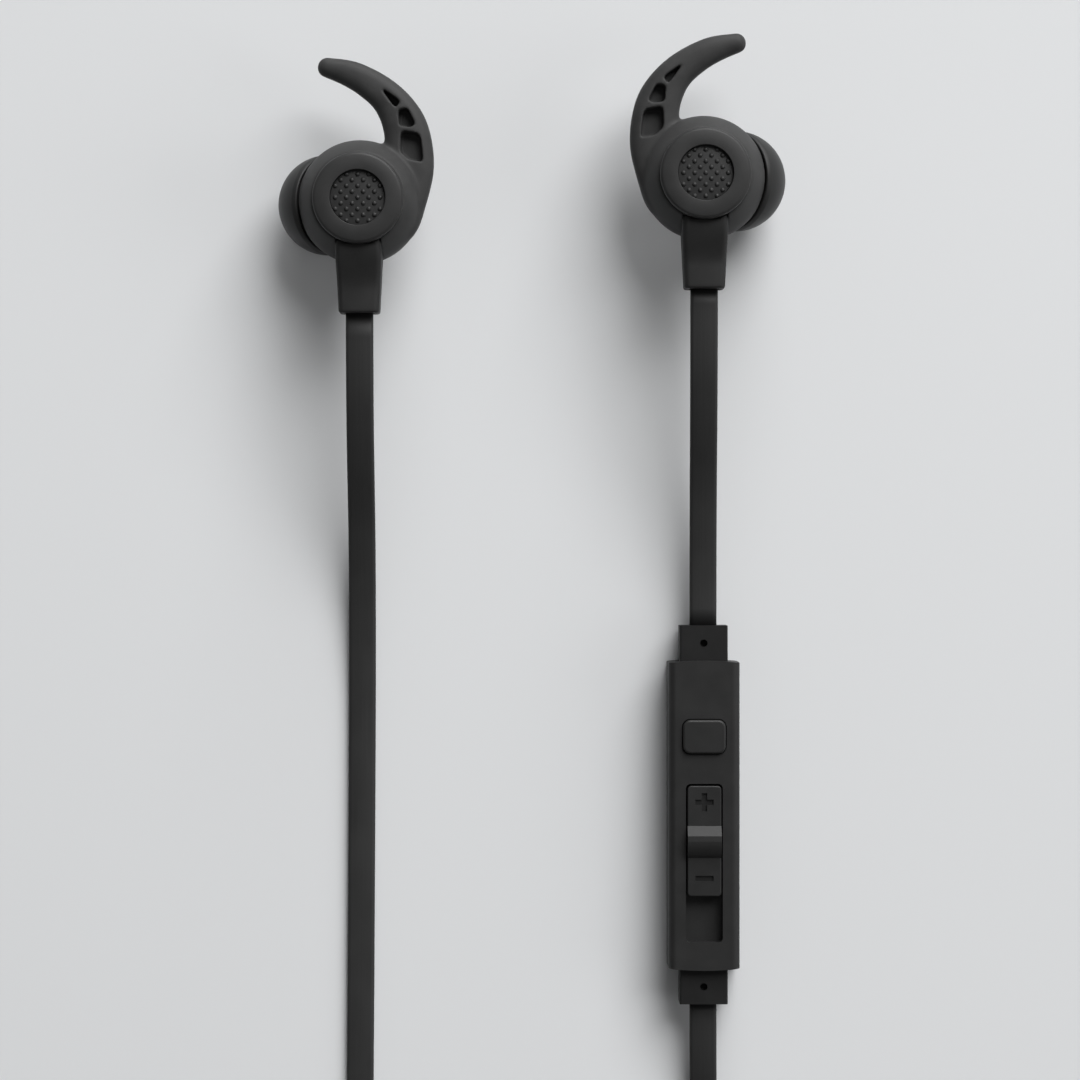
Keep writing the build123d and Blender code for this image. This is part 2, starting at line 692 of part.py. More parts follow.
tail_route = [(plug_x, -134.5, layer_z), (plug_x, -143.0, layer_z + 0.2), (plug_x, -152.5, layer_z + 0.1),
              (plug_x, -162.5, handle_radius), (plug_x, plug_y, handle_radius)]
lay_cable("main_cable", tail_route, on_edge=True, stops=[coil.part])

# ---- plug --------------------------------------------------------------------------

plug_axis = Axis((plug_x, plug_y, handle_radius), (0, -1, 0))
plug_side = Plane(origin=(plug_x, plug_y, handle_radius), x_dir=(1, 0, 0), z_dir=(0, 0, 1))
handle_end = relief_length + handle_length


def plug_piece(name, *outlines):
    # turned pieces, outlined by radius and distance along the plug
    with BuildPart() as piece:
        for outline in outlines:
            turned([(radius, -along) for radius, along in outline], plug_side, plug_axis)
    keep(piece, name)


def band(start, length):
    return ring(0, barrel_radius, start, start + length)


plug_piece("plug_handle", [(0, 0), (cable_width / 2 + relief_wall, 0),
                           (handle_radius - relief_step, relief_length),
                           (handle_radius, relief_length + 2 * relief_step),
                           (handle_radius, handle_end - handle_edge),
                           (handle_radius - handle_edge, handle_end), (0, handle_end)])
places = []
along = handle_end
for length in contact_lengths:
    places.append((along, length))
    along += length + insulator_length
plug_piece("plug_sleeve_contact", band(*places[0]))
plug_piece("plug_second_ring", band(*places[1]))
plug_piece("plug_first_ring", band(*places[2]))
plug_piece("plug_insulators", *[band(start + length, insulator_length) for start, length in places])
# the tip: a short barrel, a waist and a blunt point
plug_piece("plug_tip_contact", [(0, along), (barrel_radius, along), (barrel_radius, along + 0.7),
                                (barrel_radius - 0.5, along + 1.5), (barrel_radius - 0.1, along + 2.5),
                                (0.5, along + contact_tip), (0, along + contact_tip)])
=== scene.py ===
import bmesh
import bpy
from math import atan, ceil, cos, degrees, hypot, pi, radians, sin
from mathutils import Matrix, Vector


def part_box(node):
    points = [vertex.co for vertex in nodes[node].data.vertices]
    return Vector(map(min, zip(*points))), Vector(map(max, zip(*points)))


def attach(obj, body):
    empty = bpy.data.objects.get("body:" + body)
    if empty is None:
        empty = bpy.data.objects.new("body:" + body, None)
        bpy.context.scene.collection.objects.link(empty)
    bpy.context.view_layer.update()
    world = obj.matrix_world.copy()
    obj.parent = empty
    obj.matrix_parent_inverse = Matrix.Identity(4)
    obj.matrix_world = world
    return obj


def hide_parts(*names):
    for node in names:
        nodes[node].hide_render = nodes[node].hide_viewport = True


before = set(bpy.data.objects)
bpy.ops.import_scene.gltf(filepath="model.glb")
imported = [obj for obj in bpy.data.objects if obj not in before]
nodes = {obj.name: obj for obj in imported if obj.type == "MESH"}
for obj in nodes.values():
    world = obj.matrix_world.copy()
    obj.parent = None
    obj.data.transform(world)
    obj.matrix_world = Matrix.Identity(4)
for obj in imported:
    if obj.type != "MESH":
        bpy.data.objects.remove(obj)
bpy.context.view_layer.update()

mm = 0.001
scene = bpy.context.scene

print("stage: camera")
cameraView = {
    "place": (1.04, -2.28, 380.0),  # mm, straight above the earbuds and the remote
    "halfWidth": 70.74,             # mm of table seen to each side of the middle
    "clip": (0.01, 20.0),           # metres, nearest and farthest
}


def makeCamera(view):
    lens = bpy.data.cameras.new("camera")
    lens.angle = 2 * atan(view["halfWidth"] / view["place"][2])
    lens.clip_start, lens.clip_end = view["clip"]
    holder = bpy.data.objects.new("camera", lens)
    holder.location = Vector(view["place"]) * mm
    scene.collection.objects.link(holder)
    scene.camera = holder


makeCamera(cameraView)


# a mesh object from points in mm and faces of point numbers
def makePiece(name, points, faces, smooth=True):
    data = bpy.data.meshes.new(name)
    data.from_pydata([Vector(point) * mm for point in points], [], faces)
    data.polygons.foreach_set("use_smooth", [smooth] * len(faces))
    piece = bpy.data.objects.new(name, data)
    scene.collection.objects.link(piece)
    return piece


def useModifier(piece, kind, **settings):
    modifier = piece.modifiers.new(kind.lower(), kind)
    for key, value in settings.items():
        setattr(modifier, key, value)
    bpy.context.view_layer.update()
    finished = bpy.data.meshes.new_from_object(piece.evaluated_get(bpy.context.evaluated_depsgraph_get()))
    piece.modifiers.clear()
    oldData, piece.data = piece.data, finished
    bpy.data.meshes.remove(oldData)
    return piece


print("stage: cables")
cable = {
    "width": 3.5,
    "thickness": 1.2,
    "corner": 0.45,    # rounding of the four long edges
    "cornerSteps": 4,
    "spanSteps": 8,    # points read from each span of a route
}
coil = {
    "centre": (4.5, -130.0),
    "perTurn": 18,                 # route points in one turn
    "leftStart": (180.0, 27.0),    # angle and radius where each strand joins the coil
    "rightStart": (120.0, 26.2),
    "strandDrift": 3.6,            # each strand moves inwards by this much in one turn
    "strandEnd": 647.0,            # angle where both strands enter the splitter
    "mainStart": (679.0, 21.4),    # angle and radius where the main cable leaves it
    "firstDrift": 2.9,             # inwards in the main cable's first turn
    "drift": 1.4,                  # and in each later turn
    "core": 14.5,                  # radius of the innermost turn
    "rise": 221.0,                 # degrees taken to climb to the upper layer
    "end": 3420.0,                 # angle where the main cable leaves the coil
}
flatZ = cable["thickness"] / 2
edgeZ = cable["width"] / 2
layerZ = 1.5 * cable["width"]    # middle of the coil's upper layer


# 0 up to the start, 1 from the end on, with a soft change between them
def eased(value, start, end):
    share = min(max((value - start) / (end - start), 0.0), 1.0)
    return share * share * (3 - 2 * share)


# the line that a cable follows: one smooth spline through its route
def routeLine(name, points):
    curve = bpy.data.curves.new(name, "CURVE")
    curve.dimensions = "3D"
    spline = curve.splines.new("NURBS")
    spline.points.add(len(points) - 1)
    for dot, place in zip(spline.points, points):
        dot.co = (*(Vector(place) * mm), 1.0)
    spline.use_endpoint_u = True
    spline.order_u = 3
    spline.resolution_u = cable["spanSteps"]
    holder = bpy.data.objects.new(name, curve)
    scene.collection.objects.link(holder)
    bpy.context.view_layer.update()
    track = bpy.data.meshes.new_from_object(holder)
    line = [vertex.co / mm for vertex in track.vertices]
    bpy.data.objects.remove(holder)
    bpy.data.curves.remove(curve)
    bpy.data.meshes.remove(track)
    return line


# rounded rectangle, across and through the flat cable
def flatSection(width, thickness, corner, steps):
    section = []
    for turn, (signA, signB) in enumerate(((1, 1), (-1, 1), (-1, -1), (1, -1))):
        for step in range(steps):
            angle = (turn + step / (steps - 1)) * pi / 2
            section.append((signA * (width / 2 - corner) + corner * cos(angle),
                            signB * (thickness / 2 - corner) + corner * sin(angle)))
    return section


# a flat cable along its line; it turns on edge between two distances from its start
def layRibbon(name, line, edgeFrom, edgeTo):
    section = flatSection(cable["width"], cable["thickness"], cable["corner"], cable["cornerSteps"])
    around = len(section)
    points, strand = [], []
    travelled = 0.0
    for index, place in enumerate(line):
        before, after = line[max(index - 1, 0)], line[min(index + 1, len(line) - 1)]
        along = (after - before).normalized()
        travelled += (place - line[index - 1]).length if index else 0.0
        turn = eased(travelled, edgeFrom, edgeTo) * pi / 2
        level = along.cross(Vector((0, 0, 1))).normalized()
        upright = level.cross(along)
        across = level * cos(turn) + upright * sin(turn)
        through = upright * cos(turn) - level * sin(turn)
        for a, b in section:
            points.append(place + across * a + through * b)
            strand.append((a, b, travelled))
    faces = [(ring * around + side, ring * around + (side + 1) % around,
              (ring + 1) * around + (side + 1) % around, (ring + 1) * around + side)
             for ring in range(len(line) - 1) for side in range(around)]
    faces.append(tuple(reversed(range(around))))
    faces.append(tuple(range(len(points) - around, len(points))))
    piece = makePiece(name, points, faces)
    layer = piece.data.attributes.new("strand", "FLOAT_VECTOR", "POINT")
    layer.data.foreach_set("vector", [value for spot in strand for value in spot])
    return piece


# points of the coil's turns between two angles
def coilTurns(start, end, radiusAt, heightAt):
    count = ceil((end - start) / 360 * coil["perTurn"])
    outside = 1 / cos(pi / coil["perTurn"])    # the spline runs inside its points
    turns = []
    for step in range(count + 1):
        angle = start + (end - start) * step / count
        reach = radiusAt(angle) * outside
        turns.append((coil["centre"][0] + reach * cos(radians(angle)),
                      coil["centre"][1] + reach * sin(radians(angle)), heightAt(angle)))
    return turns


def strandTurns(start):
    angle, radius = start
    return coilTurns(angle, coil["strandEnd"],
                     lambda a: radius - coil["strandDrift"] * (a - angle) / 360, lambda a: edgeZ)


def mainRadius(angle):
    start, radius = coil["mainStart"]
    firstTurn = min(angle - start, 360.0)
    afterFirst = max(angle - start - 360.0, 0.0)
    inwards = radius - (coil["firstDrift"] * firstTurn + coil["drift"] * afterFirst) / 360
    outwards = coil["core"] + coil["drift"] * (angle - climbEnd()) / 360
    return max(inwards, coil["core"]) if angle < climbEnd() else outwards


def climbStart():
    start, radius = coil["mainStart"]
    return start + 360.0 + (radius - coil["firstDrift"] - coil["core"]) / coil["drift"] * 360


def climbEnd():
    return climbStart() + coil["rise"]


def mainHeight(angle):
    return edgeZ + (layerZ - edgeZ) * eased(angle, climbStart(), climbEnd())


# the cables' ways over the table
leftRoute = [(-21.9, 26.5, 11.198), (-21.9, 14.0, 11.198), (-22.1, -7.5, flatZ), (-22.3, -49.5, flatZ),
             (-22.55, -86.0, flatZ), (-22.6, -104.0, 1.35), (-22.6, -115.0, 1.75)]
rightUpperRoute = [(21.9, 29.6, 11.198), (21.9, 18.6, 11.198), (22.2, -0.4, 3.3), (22.2, -13.35, 3.3)]
rightLowerRoute = [(22.2, -62.25, 3.3), (22.2, -68.0, 3.3), (22.4, -78.0, flatZ), (22.0, -88.5, 1.35),
                   (14.5, -97.5, 1.85), (4.0, -102.3, edgeZ)]
tailRoute = [(-14.4, -134.5, layerZ), (-14.4, -143.0, layerZ + 0.2), (-14.4, -152.5, layerZ + 0.1),
             (-14.4, -162.5, 2.8), (-14.4, -172.0, 2.8)]
flatAllAlong = (900.0, 901.0)    # the turn would come after the cable's end
edgeAllAlong = (-2.0, -1.0)      # the turn is over before the cable starts
cables = {    # "edge" is where the turn starts and ends, in mm along the cable; "length" is in metres
    "leftCable": {
        "route": leftRoute + strandTurns(coil["leftStart"]), "edge": (122.0, 150.0),
        "length": 0.36, "farEnd": "object", "lay": "coiled", "replaces": ["left_cable"],
    },
    "rightCableUpper": {
        "route": rightUpperRoute, "edge": flatAllAlong,
        "length": 0.044, "farEnd": "object", "lay": "loose", "replaces": ["right_cable_upper"],
    },
    "rightCableLower": {
        "route": rightLowerRoute + strandTurns(coil["rightStart"]), "edge": (18.0, 44.0),
        "length": 0.28, "farEnd": "object", "lay": "coiled", "replaces": ["right_cable_lower"],
    },
    "mainCable": {
        "route": coilTurns(coil["mainStart"][0], coil["end"], mainRadius, mainHeight) + tailRoute,
        "edge": edgeAllAlong, "length": 0.85, "farEnd": "plug", "lay": "coiled",
        "replaces": ["main_cable", "cable_coil"],
    },
}


def layCables():
    laid = {}
    for name, facts in cables.items():
        line = routeLine(name, facts["route"])
        piece = layRibbon(name, line, *facts["edge"])
        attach(piece, "earphones")
        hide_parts(*facts["replaces"])
        length = sum((b - a).length for a, b in zip(line, line[1:]))
        print("  ", name, "measures", round(length, 1), "mm")
        laid[name] = (piece, line)
    return laid


cablePieces = layCables()

print("stage: finishes")


# a socket of a node; arithmetic on wires adds Math nodes
class Wire:
    def __init__(self, finish, socket):
        self.finish = finish
        self.socket = socket

    def __add__(self, other):
        return self.finish.maths("ADD", self, other)

    def __sub__(self, other):
        return self.finish.maths("SUBTRACT", self, other)

    def __rsub__(self, other):
        return self.finish.maths("SUBTRACT", other, self)

    def __mul__(self, other):
        return self.finish.maths("MULTIPLY", self, other)

    def __abs__(self):
        return self.finish.maths("ABSOLUTE", self)

    def __lt__(self, other):
        return self.finish.maths("LESS_THAN", self, other)

    __radd__ = __add__
    __rmul__ = __mul__


# one material and the nodes in it
class Finish:
    def __init__(self, name):
        self.material = bpy.data.materials.new(name)
        self.material.use_nodes = True
        self.tree = self.material.node_tree
        self.shader = self.tree.nodes["Principled BSDF"]

    def add(self, kind, settings, sockets, output=0):
        node = self.tree.nodes.new(kind)
        for key, value in settings.items():
            setattr(node, key, value)
        for key, value in sockets.items():
            self.feed(node.inputs[key], value)
        return Wire(self, node.outputs[output])

    def feed(self, socket, value):
        if isinstance(value, Wire):
            self.tree.links.new(value.socket, socket)
        else:
            socket.default_value = value

    def maths(self, operation, *values):
        return self.add("ShaderNodeMath", {"operation": operation}, dict(enumerate(values)))

    # of two colours, which are inputs 6 and 7 and output 2 of the node
    def mix(self, share, first, second):
        return self.add("ShaderNodeMix", {"data_type": "RGBA"}, {0: share, 6: first, 7: second}, 2)

    # where a point lies on the object, in mm, stretched by a factor for each direction
    def place(self, stretch=(1, 1, 1)):
        spot = self.add("ShaderNodeTexCoord", {}, {}, "Object")
        return self.scaled(spot, [factor / mm for factor in stretch])

    # where a point lies on a flat cable: across, through and along it, in mm
    def strand(self, stretch):
        spot = self.add("ShaderNodeAttribute", {"attribute_name": "strand"}, {}, "Vector")
        return self.scaled(spot, stretch)

    def scaled(self, vector, factors):
        return self.add("ShaderNodeVectorMath", {"operation": "MULTIPLY"}, {0: vector, 1: factors})

    def height(self, spot):
        return self.add("ShaderNodeSeparateXYZ", {}, {0: spot}, "Z")

    def noise(self, spot, scale, detail, rough=0.55):
        return self.add("ShaderNodeTexNoise", {}, {"Vector": spot, "Scale": scale, "Detail": detail,
                                                   "Roughness": rough})

    def specks(self, spot, scale, size):
        cells = self.add("ShaderNodeTexVoronoi", {}, {"Vector": spot, "Scale": scale})
        return cells < size

    # 0 up to the low value and 1 from the high one on
    def ramp(self, value, low, high):
        return self.add("ShaderNodeMapRange", {}, {"Value": value, "From Min": low, "From Max": high})

    def bump(self, height, depth, under=None):
        sockets = {"Height": height, "Distance": depth * mm, "Strength": 1.0}
        if under:
            sockets["Normal"] = under
        return self.add("ShaderNodeBump", {}, sockets)

    def shade(self, **values):
        for key, value in values.items():
            self.feed(self.shader.inputs[key.replace("_", " ")], value)
        return self.material


def grey(level, warmth=0.0):
    return (level * (1 + warmth), level, level * (1 - warmth), 1.0)


# dark polymers: colour levels, roughness, moulded grain per mm, and the little dust that clings to them
polymers = {
    "sleeveSilicone": {"dark": 0.031, "light": 0.044, "roughness": 0.58, "specular": 0.22, "sheen": 0.02,
                       "grain": 7.0, "depth": 0.010, "dust": 0.10, "seam": 0.014},
    "tipSilicone": {"dark": 0.016, "light": 0.023, "roughness": 0.48, "specular": 0.28, "sheen": 0.02,
                    "grain": 9.0, "depth": 0.005, "dust": 0.12},
    "housingPlastic": {"dark": 0.020, "light": 0.025, "roughness": 0.50, "specular": 0.34, "sheen": 0.0,
                       "grain": 11.0, "depth": 0.010, "dust": 0.06},
    "studRubber": {"dark": 0.014, "light": 0.020, "roughness": 0.52, "specular": 0.40, "sheen": 0.0,
                   "grain": 12.0, "depth": 0.005, "dust": 0.14},
    "bootRubber": {"dark": 0.014, "light": 0.019, "roughness": 0.58, "specular": 0.28, "sheen": 0.0,
                   "grain": 8.0, "depth": 0.008, "dust": 0.08},
    "remotePlastic": {"dark": 0.015, "light": 0.020, "roughness": 0.52, "specular": 0.30, "sheen": 0.0,
                      "grain": 10.0, "depth": 0.012, "dust": 0.06},
    "collarRubber": {"dark": 0.009, "light": 0.013, "roughness": 0.60, "specular": 0.22, "sheen": 0.0,
                     "grain": 9.0, "depth": 0.010, "dust": 0.06},
    # the controls' last value is the height below which shade is painted into their colour
    "controlPlastic": {"dark": 0.016, "light": 0.020, "roughness": 0.46, "specular": 0.32, "sheen": 0.0,
                       "grain": 12.0, "depth": 0.007, "dust": 0.05, "paintedShadeBelow": 6.84},
    "innerPlastic": {"dark": 0.05, "light": 0.07, "roughness": 0.45, "specular": 0.5, "sheen": 0.0,
                     "grain": 6.0, "depth": 0.006, "dust": 0.0},
}
moulding = {    # what all the dark polymers share
    "cloudScale": 0.35,        # broad patches, per mm
    "cloudDetail": 3.0,
    "cloudRoughness": 0.16,
    "grainDetail": 4.0,
    "grainRough": 0.65,
    "grainTone": 0.4,
    "grainRoughness": 0.10,
    "tone": (0.45, 0.95),      # patches and grain, from the dark level to the light one
    "paintedShadeReach": 0.16,        # mm of depth until the painted shade is full
    "paintedShadeShare": 0.5,
    "paintedShadeLevel": 0.004,
    "dustScale": 1.6,
    "dustSize": 0.055,
    "dustPatches": (0.35, 0.7),
    "dustLevel": 0.22,
    "dustWarmth": 0.04,
    "seamHalf": 0.045,         # mm, half the width of the parting line
    "sheenRoughness": 0.4,
}


# noise lies about 0.5, so patches are duller or glossier than the roughness given
def makePolymer(name, look):
    finish = Finish(name)
    spot = finish.place()
    cloud = finish.noise(spot, moulding["cloudScale"], moulding["cloudDetail"])
    grain = finish.noise(spot, look["grain"], moulding["grainDetail"], moulding["grainRough"])
    tone = finish.ramp(cloud + grain * moulding["grainTone"], *moulding["tone"])
    colour = finish.mix(tone, grey(look["dark"]), grey(look["light"]))
    if "paintedShadeBelow" in look:    # painted shade: below this height the controls darken with depth, in the engraved marks and in the gaps
        paintedShade = finish.ramp(look["paintedShadeBelow"] - finish.height(spot), 0.0, moulding["paintedShadeReach"])
        colour = finish.mix(paintedShade * moulding["paintedShadeShare"], colour, grey(moulding["paintedShadeLevel"]))
    specks = finish.specks(spot, moulding["dustScale"], moulding["dustSize"])
    dust = specks * finish.ramp(cloud, *moulding["dustPatches"]) * look["dust"]
    colour = finish.mix(dust, colour, grey(moulding["dustLevel"], moulding["dustWarmth"]))
    roughness = (look["roughness"] + (cloud - 0.5) * moulding["cloudRoughness"]
                 + (grain - 0.5) * moulding["grainRoughness"] + dust)
    normal = finish.bump(grain, look["depth"])
    if "seam" in look:    # the mould's parting line runs round the sleeve at the height of its axis
        line = abs(finish.height(spot) - sleeve["partingZ"]) < moulding["seamHalf"]
        normal = finish.bump(line, look["seam"], normal)
    return finish.shade(Base_Color=colour, Roughness=roughness, Normal=normal,
                        Specular_IOR_Level=look["specular"], Sheen_Weight=look["sheen"],
                        Sheen_Roughness=moulding["sheenRoughness"])


jacket = {
    "dark": 0.0205,
    "light": 0.0265,
    "tone": (0.5, 1.0),
    "roughness": 0.56,
    "specular": 0.30,
    "lines": (5.0, 5.0, 0.05),     # per mm across, through and along the cable
    "linesDepth": 0.012,
    "linesTone": 0.5,
    "linesRoughness": 0.12,
    "clouds": (0.2, 0.2, 0.12),
    "cloudRoughness": 0.2,
    "detail": 2.0,                 # of the lines and the clouds
    "grainScale": 9.0,
    "grainDetail": 3.0,
    "grainDepth": 0.008,
}


# the extruded cable jacket: faint drawing lines along it, and a soft grain
def makeJacket(name, look):
    finish = Finish(name)
    lines = finish.noise(finish.strand(look["lines"]), 1.0, look["detail"])
    grain = finish.noise(finish.strand((1, 1, 1)), look["grainScale"], look["grainDetail"])
    cloud = finish.noise(finish.strand(look["clouds"]), 1.0, look["detail"])
    tone = finish.ramp(cloud + lines * look["linesTone"], *look["tone"])
    roughness = (look["roughness"] + (cloud - 0.5) * look["cloudRoughness"]
                 + (lines - 0.5) * look["linesRoughness"])
    normal = finish.bump(grain, look["grainDepth"], finish.bump(lines, look["linesDepth"]))
    return finish.shade(Base_Color=finish.mix(tone, grey(look["dark"]), grey(look["light"])),
                        Roughness=roughness, Normal=normal, Specular_IOR_Level=look["specular"])


metals = {
    "platedContact": {"colour": (0.86, 0.62, 0.26, 1.0), "worn": (0.70, 0.52, 0.27, 1.0), "roughness": 0.22,
                      "lines": (3.0, 40.0, 3.0)},
    "magnetSteel": {"colour": (0.46, 0.46, 0.47, 1.0), "worn": (0.34, 0.34, 0.35, 1.0), "roughness": 0.32,
                    "lines": (8.0, 8.0, 30.0)},
    "meshSteel": {"colour": (0.34, 0.34, 0.35, 1.0), "worn": (0.22, 0.22, 0.23, 1.0), "roughness": 0.36,
                  "lines": (12.0, 12.0, 12.0), "pitch": 0.46, "hole": 0.33},
}
metalWork = {    # what all the metals share
    "lineDetail": 2.0,
    "lineDepth": 0.004,
    "lineRoughness": 0.15,
    "cloudScale": 0.8,
    "cloudDetail": 3.0,
    "cloudRoughness": 0.1,
    "wear": (0.35, 0.75),
    "holeShadeLevel": 0.004,
    "holeDepth": 0.06,
}


# holes, where there are any, lie in a square pattern over the tilted nozzle's end; they are painted
# near-black, as painted shade for the dark seen through them
def makeMetal(name, look):
    finish = Finish(name)
    lines = finish.noise(finish.place(look["lines"]), 1.0, metalWork["lineDetail"])
    cloud = finish.noise(finish.place(), metalWork["cloudScale"], metalWork["cloudDetail"])
    colour = finish.mix(finish.ramp(cloud, *metalWork["wear"]), look["colour"], look["worn"])
    roughness = (look["roughness"] + (lines - 0.5) * metalWork["lineRoughness"]
                 + (cloud - 0.5) * metalWork["cloudRoughness"])
    normal = finish.bump(lines, metalWork["lineDepth"])
    metallic = 1.0
    if "pitch" in look:
        grid = finish.place((0, 1 / look["pitch"], 1 / look["pitch"] / sin(tilt)))
        cells = finish.add("ShaderNodeTexVoronoi", {}, {"Vector": grid, "Scale": 1.0, "Randomness": 0.0})
        holes = cells < look["hole"]
        # painted shade: the holes take a near-black colour
        colour = finish.mix(holes, colour, grey(metalWork["holeShadeLevel"]))
        metallic = 1.0 - holes
        normal = finish.bump(metallic, metalWork["holeDepth"], normal)
    return finish.shade(Base_Color=colour, Metallic=metallic, Roughness=roughness, Normal=normal)


board = {
    "resist": ((0.012, 0.085, 0.035, 1.0), (0.018, 0.12, 0.05, 1.0)),
    "weaveScale": 2.2,
    "weaveShare": 0.35,
    "copper": (0.03, 0.16, 0.07, 1.0),    # the resist over the copper areas
    "copperScale": 0.9,
    "copperDetail": 1.0,
    "copperBelow": 0.46,
    "copperShare": 0.4,
    "copperDepth": 0.02,
    "roughness": 0.3,
}


# glass-fibre board under green solder resist, with the weave just showing
def makeBoard(look):
    finish = Finish("circuitBoard")
    checks = {"Vector": finish.place(), "Scale": look["weaveScale"]}
    weave = finish.add("ShaderNodeTexChecker", {}, checks, 1)
    copper = finish.noise(finish.place(), look["copperScale"], look["copperDetail"]) < look["copperBelow"]
    resist = finish.mix(weave * look["weaveShare"], *look["resist"])
    return finish.shade(Base_Color=finish.mix(copper * look["copperShare"], resist, look["copper"]),
                        Roughness=look["roughness"], Normal=finish.bump(copper, look["copperDepth"]))


film = {
    "colours": ((0.30, 0.27, 0.22, 1.0), (0.40, 0.37, 0.31, 1.0)),
    "cloudScale": 2.5,
    "cloudDetail": 2.0,
    "depth": 0.01,
    "roughness": 0.22,
}


# the driver's thin film, with a faint cloud in it
def makeFilm(look):
    finish = Finish("driverFilm")
    cloud = finish.noise(finish.place(), look["cloudScale"], look["cloudDetail"])
    return finish.shade(Base_Color=finish.mix(cloud, *look["colours"]), Roughness=look["roughness"],
                        Normal=finish.bump(cloud, look["depth"]))


print("stage: earbuds")
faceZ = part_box("left_face_ring")[1].z / mm
bud = {
    "faceRise": 5.64,      # from the crossing of the earbud's and the nozzle's axes up to the face
    "nozzleTilt": 49.0,    # degrees from straight down, towards the outside
    "seatDrop": 1.5,       # from the face down to the seat of the face ring
    "housingRadius": 6.85,
    "housingAbove": 2.3,   # straight wall above and below the crossing
    "housingBelow": 1.5,
    "footRadius": 5.65,    # the housing narrows to this below its wall
    "footDrop": 2.6,
}
crossZ = faceZ - bud["faceRise"]
seatZ = faceZ - bud["seatDrop"]
wallLow = crossZ - bud["housingBelow"]
wallHigh = crossZ + bud["housingAbove"]
tilt = radians(bud["nozzleTilt"])
# the nozzle's frame: heights run along the nozzle from where it crosses the earbud's axis
nozzleFrame = Matrix(((cos(tilt), 0, sin(tilt), 0), (0, -1, 0, 0), (sin(tilt), 0, -cos(tilt), crossZ),
                      (0, 0, 0, 1)))


# a smooth line through its points, with this many steps from each to the next
def smoothLine(points, steps):
    ends = [points[0]] + list(points) + [points[-1]]
    line = []
    for a, b, c, d in zip(ends, ends[1:], ends[2:], ends[3:]):
        for step in range(steps):
            t = step / steps
            line.append(tuple(0.5 * (2 * q + (r - p) * t + (2 * p - 5 * q + 4 * r - s) * t ** 2
                                     + (3 * q - p - 3 * r + s) * t ** 3) for p, q, r, s in zip(a, b, c, d)))
    return line + [tuple(points[-1])]


# an arc of (radius, height) points; angles in degrees, 0 towards larger radius
def arc(radius, height, size, start, end, steps=8):
    angles = [radians(start + (end - start) * step / steps) for step in range(steps + 1)]
    return [(radius + size * cos(angle), height + size * sin(angle)) for angle in angles]


# points and faces of a turned solid from its outline of (radius, height)
def turn(outline, matrix=Matrix(), steps=96, ring=False):
    points, rings = [], []
    for radius, height in outline:
        first = len(points)
        count = 1 if radius < 1e-6 else steps    # one point on the axis
        rings.append([first + index for index in range(count)])
        for index in range(count):
            angle = 2 * pi * index / steps
            points.append(matrix @ Vector((radius * cos(angle), radius * sin(angle), height)))
    faces = []
    for low, high in list(zip(rings, rings[1:])) + ([(rings[-1], rings[0])] if ring else []):
        for index in range(steps):
            after = (index + 1) % steps
            corners = [low[index % len(low)], low[after % len(low)], high[after % len(high)],
                       high[index % len(high)]]
            faces.append(tuple(dict.fromkeys(corners)))
    return points, faces


# points and faces of a skin over closed sections with equally many points
def loft(sections):
    around = len(sections[0])
    points = [point for section in sections for point in section]
    faces = [(level * around + side, level * around + (side + 1) % around,
              (level + 1) * around + (side + 1) % around, (level + 1) * around + side)
             for level in range(len(sections) - 1) for side in range(around)]
    faces.append(tuple(range(around - 1, -1, -1)))
    faces.append(tuple(range(len(points) - around, len(points))))
    return points, faces


# an upright prism; its top is the outline spread about its middle
def prism(outline, low, high, spread):
    midU, midV = [sum(values) / len(outline) for values in zip(*outline)]
    top = [(midU + (u - midU) * spread, midV + (v - midV) * spread, high) for u, v in outline]
    return loft([[(u, v, low) for u, v in outline], top])


# a work piece with 1 unit for 1 mm, its faces all turned outwards
def workPiece(name, *parts):
    points, faces = [], []
    for partPoints, partFaces in parts:
        first = len(points)
        points += [Vector(point) for point in partPoints]
        faces += [tuple(first + corner for corner in face) for face in partFaces]
    data = bpy.data.meshes.new(name)
    data.from_pydata(points, [], faces)
    edit = bmesh.new()
    edit.from_mesh(data)
    bmesh.ops.recalc_face_normals(edit, faces=edit.faces)
    edit.to_mesh(data)
    edit.free()
    piece = bpy.data.objects.new(name, data)
    scene.collection.objects.link(piece)
    return piece


def cut(piece, *parts):
    for part in parts:
        cutter = workPiece("cutter", part)
        useModifier(piece, "BOOLEAN", operation="DIFFERENCE", solver="EXACT", object=cutter)
        bpy.data.objects.remove(cutter)
    return piece


# the work piece's mesh, mirrored where needed, placed and brought to metres
def settle(name, work, matrix, finish, body, slot, *replaced):
    data = work.data.copy()
    data.name = name
    data.transform(Matrix.Scale(mm, 4) @ matrix)
    if matrix.determinant() < 0:
        data.flip_normals()
    data.polygons.foreach_set("use_smooth", [True] * len(data.polygons))
    data.materials.clear()
    data.materials.append(finish)
    piece = bpy.data.objects.new(name, data)
    scene.collection.objects.link(piece)
    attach(piece, body)
    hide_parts(*replaced)
    return piece


# a power that keeps the sign
def power(value, exponent):
    return abs(value) ** exponent * (1 if value >= 0 else -1)


# one section across the wing, between its inner and its outer edge
def wingSection(middle, reach, thickness, blunt, points=32):
    section = []
    for index in range(points):
        angle = 2 * pi * index / points
        side = power(cos(angle), 2 / blunt)
        rise = power(sin(angle), 2 / blunt)
        section.append((middle.x + reach.x * side, middle.y + reach.y * side, crossZ + thickness / 2 * rise))
    return section


